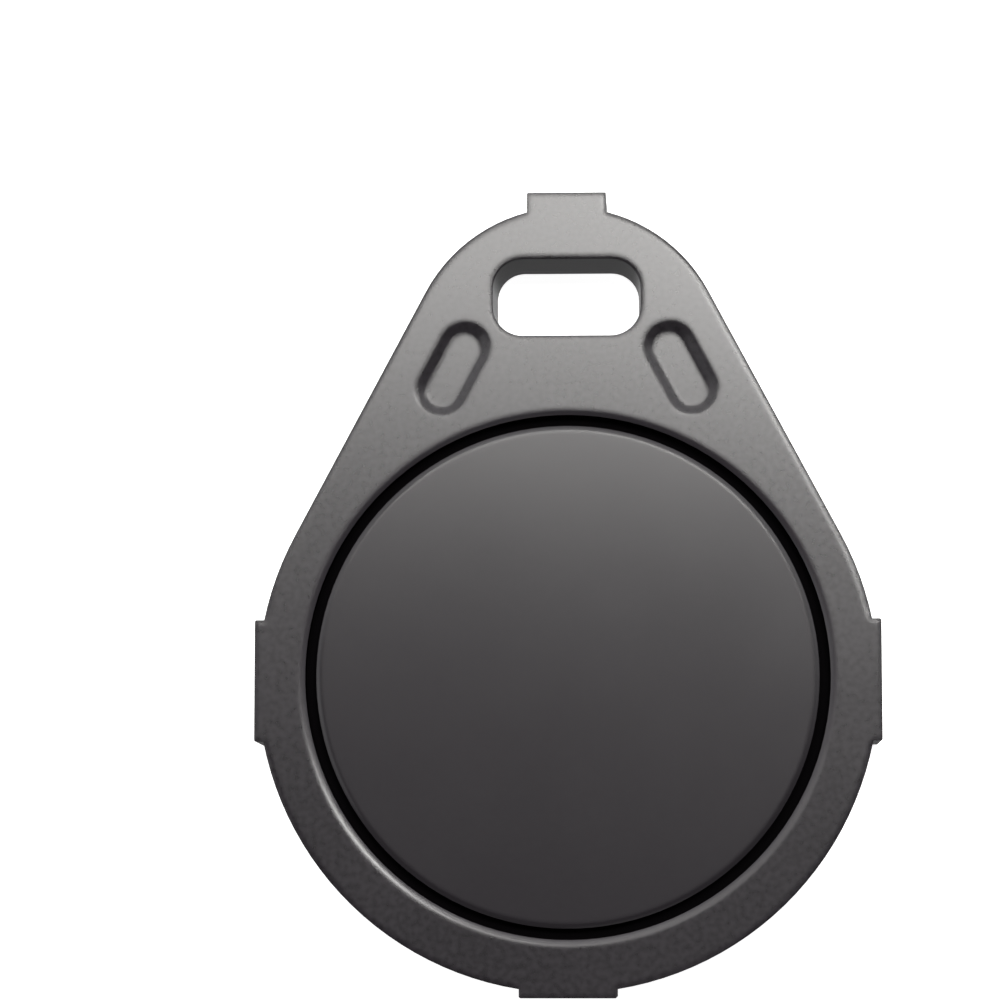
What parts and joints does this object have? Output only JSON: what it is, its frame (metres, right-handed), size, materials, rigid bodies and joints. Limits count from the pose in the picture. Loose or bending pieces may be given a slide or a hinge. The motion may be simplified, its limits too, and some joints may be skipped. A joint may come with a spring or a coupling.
{
  "type": "rfid key fob tag",
  "caption": "Flat teardrop key tag with a key-ring slot, slanted grip recesses and a round lid over a coil and chip.",
  "frame": {"origin": "on the round lid's axis, in the flat back face", "axes": "+Z out of the front face with the lid, +Y along the tag to the key-ring slot, +X to the right seen from the front"},
  "size_m": [0.0308, 0.0399, 0.0042],
  "materials": {
    "housing_plastic": "fine moulded grain, satin grey",
    "lid_plastic": "smooth satin, dark grey",
    "enamelled_copper": "enamelled copper wire, bonded",
    "adhesive": "clear yellowish, glossy",
    "board_laminate": "glass-epoxy laminate",
    "copper": "etched copper foil",
    "silicon": "polished silicon",
    "bond_metal": "drawn fine wire",
    "resin": "black epoxy drop",
    "solder": "tin solder"
  },
  "bodies": {
    "root": {"housing": "housing_plastic", "cover_disc": "lid_plastic", "antenna_coil": "enamelled_copper", "coil_adhesive": "adhesive", "chip_board": "board_laminate", "board_adhesive": "adhesive", "board_pads": "copper", "chip_die": "silicon", "bond_wires": "bond_metal", "chip_encapsulant": "resin", "lead_joints": "solder"}
  },
  "joints": []
}
